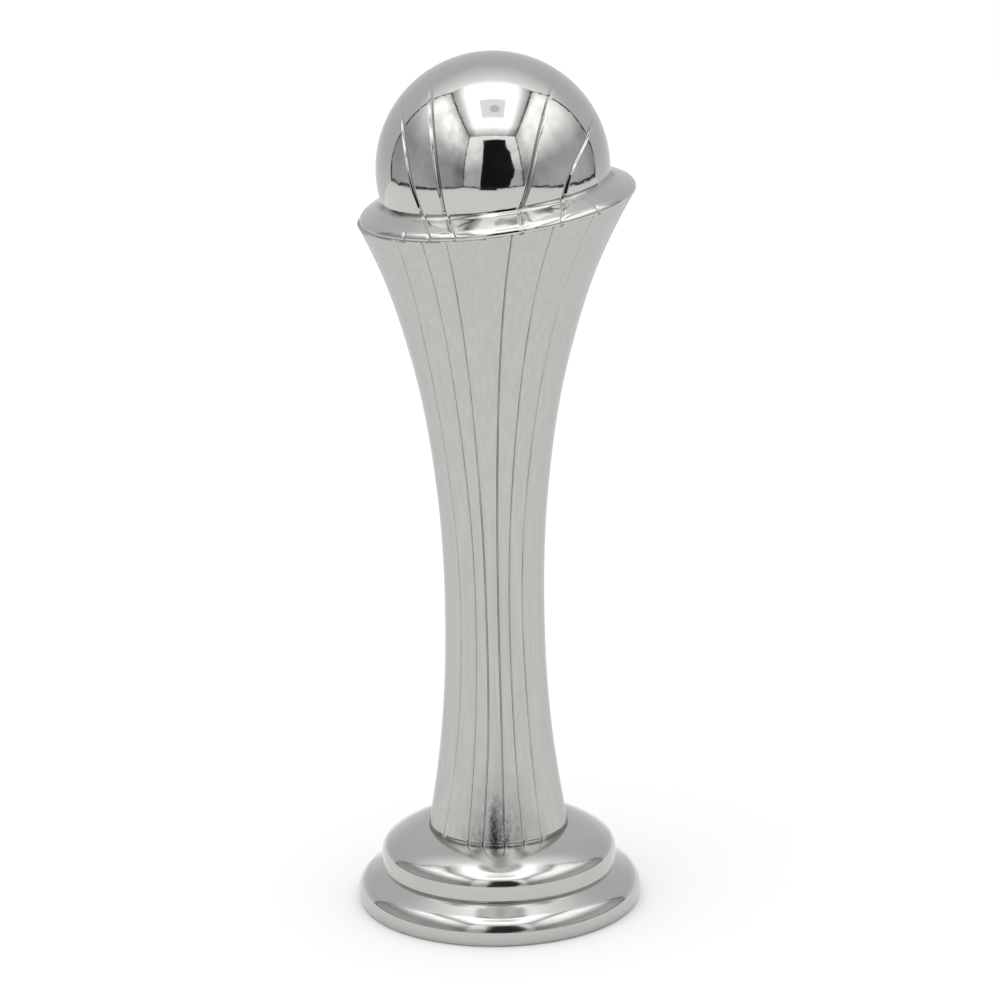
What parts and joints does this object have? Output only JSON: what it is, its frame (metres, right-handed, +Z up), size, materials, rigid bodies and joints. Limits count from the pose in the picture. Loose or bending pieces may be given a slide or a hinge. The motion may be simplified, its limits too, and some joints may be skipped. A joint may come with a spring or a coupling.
{
  "type": "column trophy",
  "caption": "Small desk trophy: a grooved ball on a slanted collar, over a waisted hollow column and a stepped, weighted base, clamped by a tie rod.",
  "frame": {"origin": "on the column's axis at the underside of the felt pad, where the trophy stands", "axes": "+Z up the column; the front faces -Y, and the slanted collar is high on +X"},
  "size_m": [0.0331, 0.0328, 0.1001],
  "materials": {
    "polished_plate": "polished silver-coloured plate",
    "satin_plate": "the same plate, finely brushed up and down",
    "black_felt": "pressed felt",
    "ballast_iron": "as cast",
    "insert_brass": "turned",
    "pin_steel": "ground",
    "spring_steel": "blued",
    "zinc_steel": "bright zinc plate"
  },
  "bodies": {
    "root": {"ball_shell": "polished_plate", "collar_ring": "polished_plate", "base_shell": "polished_plate", "column_shell": "satin_plate", "ball_thread_insert": "insert_brass", "ball_register_pin": "pin_steel", "collar_register_pin": "pin_steel", "base_weight": "ballast_iron", "tie_rod": "zinc_steel", "clamp_washer": "zinc_steel", "spring_washer": "spring_steel", "clamp_nut": "zinc_steel", "felt_pad": "black_felt"}
  },
  "joints": []
}
